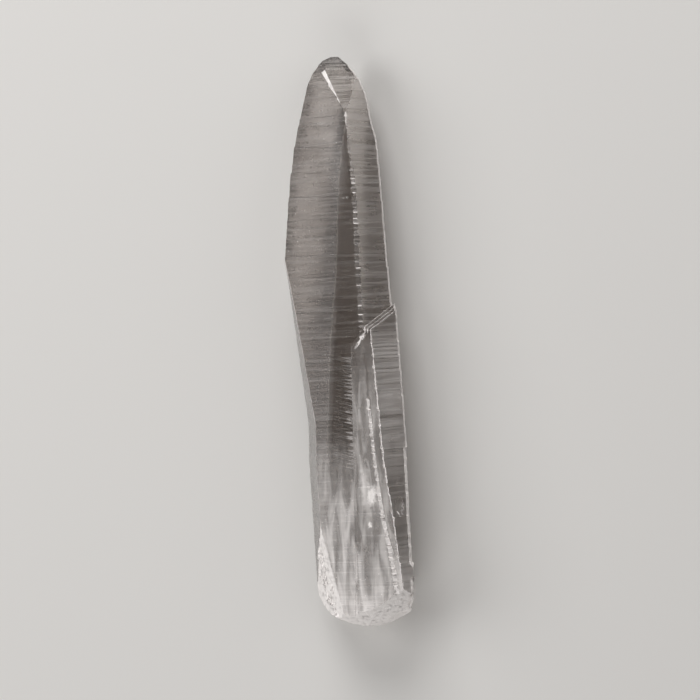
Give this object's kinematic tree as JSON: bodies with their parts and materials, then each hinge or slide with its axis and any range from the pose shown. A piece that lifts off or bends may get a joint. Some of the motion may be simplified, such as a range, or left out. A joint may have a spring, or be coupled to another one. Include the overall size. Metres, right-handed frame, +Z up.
{
  "type": "lemurian quartz crystal",
  "caption": "Long clear quartz crystal with laddered prism faces, a tapering point and a frosted broken base, lying on one face.",
  "frame": {"origin": "under the middle of the crystal, on the surface that it lies on", "axes": "+Z up, +Y along the crystal towards its point, +X to the right seen from above with the point away"},
  "size_m": [0.0258, 0.128, 0.0171],
  "materials": {
    "quartz": "clear quartz, satin on the laddered faces, frosted at the broken base"
  },
  "bodies": {
    "root": {"crystal": "quartz"}
  },
  "joints": []
}
